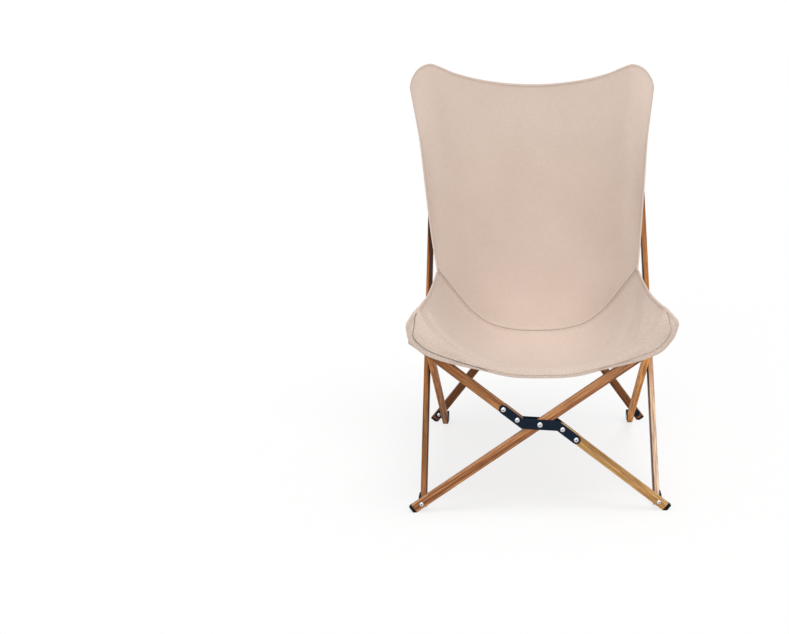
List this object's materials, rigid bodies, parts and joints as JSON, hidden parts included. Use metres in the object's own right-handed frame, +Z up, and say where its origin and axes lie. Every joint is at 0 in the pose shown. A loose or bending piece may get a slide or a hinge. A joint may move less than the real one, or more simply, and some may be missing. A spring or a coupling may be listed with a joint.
{
  "type": "folding sling chair",
  "caption": "Folding lounge chair with a double-curved canvas sling hung on four crossed-bar corners of a scissor-jointed wooden frame.",
  "frame": {"origin": "centre of the overall box at floor level", "axes": "+Z up, -Y toward the front, where the sitter's legs go, +X to the right seen from the front"},
  "size_m": [0.6202, 0.761, 0.9213],
  "materials": {
    "wood": "warm brown grain, satin",
    "bracket_steel": "dark blue-black paint",
    "rivet_steel": "plain rivet heads",
    "foot_cap": "matt black",
    "canvas": "plain beige canvas, stitched"
  },
  "bodies": {
    "front_left_bracket": {"front_left_foot_bracket": "bracket_steel", "front_left_bar_rivet": "rivet_steel", "front_left_pole_rivet": "rivet_steel"},
    "front_cross": {"front_cross_bar": "wood", "front_cross_bar_foot": "foot_cap", "sling_seat_right_pocket": "canvas"},
    "front_split": {"front_split_bar_upper": "wood", "front_split_bar_lower": "wood", "front_split_bar_foot": "foot_cap", "front_plate_outer": "bracket_steel", "front_plate_inner": "bracket_steel", "front_pivot_bolt": "rivet_steel", "front_plate_rivet_upper_inner": "rivet_steel", "front_plate_rivet_upper_outer": "rivet_steel", "front_plate_rivet_lower_inner": "rivet_steel", "front_plate_rivet_lower_outer": "rivet_steel", "sling_seat_left_pocket": "canvas"},
    "front_right_bracket": {"front_right_foot_bracket": "bracket_steel", "front_right_bar_rivet": "rivet_steel", "front_right_pole_rivet": "rivet_steel"},
    "seat_left_bracket": {"seat_left_bracket": "bracket_steel"},
    "seat_right_bracket": {"seat_right_bracket": "bracket_steel"},
    "left_pole": {"left_back_pole": "wood", "left_back_pole_foot": "foot_cap", "sling_top_left_pocket": "canvas", "sling_back_panel": "canvas"},
    "right_pole": {"right_back_pole": "wood", "right_back_pole_foot": "foot_cap", "sling_top_right_pocket": "canvas"},
    "left_leg": {"left_side_leg": "wood", "left_side_leg_foot": "foot_cap"},
    "right_leg": {"right_side_leg": "wood", "right_side_leg_foot": "foot_cap"},
    "rear_left_bracket": {"rear_left_foot_bracket": "bracket_steel", "rear_left_bar_rivet": "rivet_steel", "rear_left_leg_rivet": "rivet_steel"},
    "rear_right_bracket": {"rear_right_foot_bracket": "bracket_steel", "rear_right_leg_rivet": "rivet_steel"},
    "back_left_bracket": {"back_left_bracket": "bracket_steel"},
    "back_right_bracket": {"back_right_bracket": "bracket_steel"},
    "rear_cross": {"rear_cross_bar": "wood", "rear_cross_bar_foot": "foot_cap", "back_right_bar_rivet": "rivet_steel"},
    "rear_split": {"rear_split_bar_upper": "wood", "rear_split_bar_lower": "wood", "rear_split_bar_foot": "foot_cap", "rear_plate_outer": "bracket_steel", "rear_plate_inner": "bracket_steel", "rear_pivot_bolt": "rivet_steel", "rear_plate_rivet_upper_inner": "rivet_steel", "rear_plate_rivet_upper_outer": "rivet_steel", "rear_plate_rivet_lower_inner": "rivet_steel", "rear_plate_rivet_lower_outer": "rivet_steel", "rear_right_bar_rivet": "rivet_steel", "back_left_bar_rivet": "rivet_steel"},
    "sling_seat": {"sling_seat_panel": "canvas"}
  },
  "joints": [
    {"name": "front_fold", "type": "hinge", "parent": "front_left_bracket", "child": "front_cross", "pos_m": [-0.26, -0.36435, 0.02], "axis": [0, -1, 0], "range_deg": [0, 46.24], "deforming": ["sling_back_panel", "sling_seat_panel"]},
    {"name": "front_pivot", "type": "hinge", "parent": "front_cross", "child": "front_split", "pos_m": [0, -0.36435, 0.2025], "axis": [0, 1, 0], "range_deg": [0, 92.49]},
    {"name": "front_right_foot_turn", "type": "hinge", "parent": "front_split", "child": "front_right_bracket", "pos_m": [0.26, -0.36435, 0.02], "axis": [0, -1, 0], "range_deg": [0, 46.24]},
    {"name": "seat_left_turn", "type": "hinge", "parent": "front_split", "child": "seat_left_bracket", "pos_m": [-0.26, -0.36435, 0.385], "axis": [0, -1, 0], "range_deg": [0, 46.24]},
    {"name": "seat_right_turn", "type": "hinge", "parent": "front_cross", "child": "seat_right_bracket", "pos_m": [0.26, -0.36435, 0.385], "axis": [0, 1, 0], "range_deg": [0, 46.24]},
    {"name": "left_pole_hinge", "type": "hinge", "parent": "front_left_bracket", "child": "left_pole", "pos_m": [-0.258, -0.32835, 0.02], "axis": [1, 0, 0], "range_deg": [0, 31.82]},
    {"name": "right_pole_hinge", "type": "hinge", "parent": "front_right_bracket", "child": "right_pole", "pos_m": [0.258, -0.32835, 0.02], "axis": [1, 0, 0], "range_deg": [0, 31.82]},
    {"name": "left_leg_hinge", "type": "hinge", "parent": "seat_left_bracket", "child": "left_leg", "pos_m": [-0.242, -0.32835, 0.385], "axis": [-1, 0, 0], "range_deg": [0, 46.24]},
    {"name": "right_leg_hinge", "type": "hinge", "parent": "seat_right_bracket", "child": "right_leg", "pos_m": [0.242, -0.32835, 0.385], "axis": [-1, 0, 0], "range_deg": [0, 46.24]},
    {"name": "rear_left_foot_hinge", "type": "hinge", "parent": "left_leg", "child": "rear_left_bracket", "pos_m": [-0.242, 0.19165, 0.02], "axis": [1, 0, 0], "range_deg": [0, 46.24]},
    {"name": "rear_right_foot_hinge", "type": "hinge", "parent": "right_leg", "child": "rear_right_bracket", "pos_m": [0.242, 0.19165, 0.02], "axis": [1, 0, 0], "range_deg": [0, 46.24]},
    {"name": "back_left_hinge", "type": "hinge", "parent": "left_pole", "child": "back_left_bracket", "pos_m": [-0.258, 0.19165, 0.67608], "axis": [-1, 0, 0], "range_deg": [0, 31.82]},
    {"name": "back_right_hinge", "type": "hinge", "parent": "right_pole", "child": "back_right_bracket", "pos_m": [0.258, 0.19165, 0.67608], "axis": [-1, 0, 0], "range_deg": [0, 31.82]},
    {"name": "rear_fold", "type": "hinge", "parent": "rear_left_bracket", "child": "rear_cross", "pos_m": [-0.26, 0.22765, 0.02], "axis": [0, -1, 0], "range_deg": [0, 31.82]},
    {"name": "rear_pivot", "type": "hinge", "parent": "rear_cross", "child": "rear_split", "pos_m": [0, 0.22765, 0.34804], "axis": [0, 1, 0], "range_deg": [0, 63.63]},
    {"name": "sling_seat_drop", "type": "hinge", "parent": "seat_left_bracket", "child": "sling_seat", "pos_m": [-0.26, -0.36435, 0.434], "axis": [-1, 0, 0], "range_deg": [0, 43.93]}
  ],
  "couplings": [
    {"joint": "front_pivot", "follows": "front_fold", "ratio": 2},
    {"joint": "front_right_foot_turn", "follows": "front_fold", "ratio": 1},
    {"joint": "seat_left_turn", "follows": "front_fold", "ratio": 1},
    {"joint": "seat_right_turn", "follows": "front_fold", "ratio": 1},
    {"joint": "left_pole_hinge", "follows": "front_fold", "ratio": 0.688},
    {"joint": "right_pole_hinge", "follows": "front_fold", "ratio": 0.688},
    {"joint": "left_leg_hinge", "follows": "front_fold", "ratio": 1},
    {"joint": "right_leg_hinge", "follows": "front_fold", "ratio": 1},
    {"joint": "rear_left_foot_hinge", "follows": "front_fold", "ratio": 1},
    {"joint": "rear_right_foot_hinge", "follows": "front_fold", "ratio": 1},
    {"joint": "back_left_hinge", "follows": "front_fold", "ratio": 0.688},
    {"joint": "back_right_hinge", "follows": "front_fold", "ratio": 0.688},
    {"joint": "rear_fold", "follows": "front_fold", "ratio": 0.688},
    {"joint": "rear_pivot", "follows": "front_fold", "ratio": 1.376},
    {"joint": "sling_seat_drop", "follows": "front_fold", "ratio": 0.95}
  ]
}
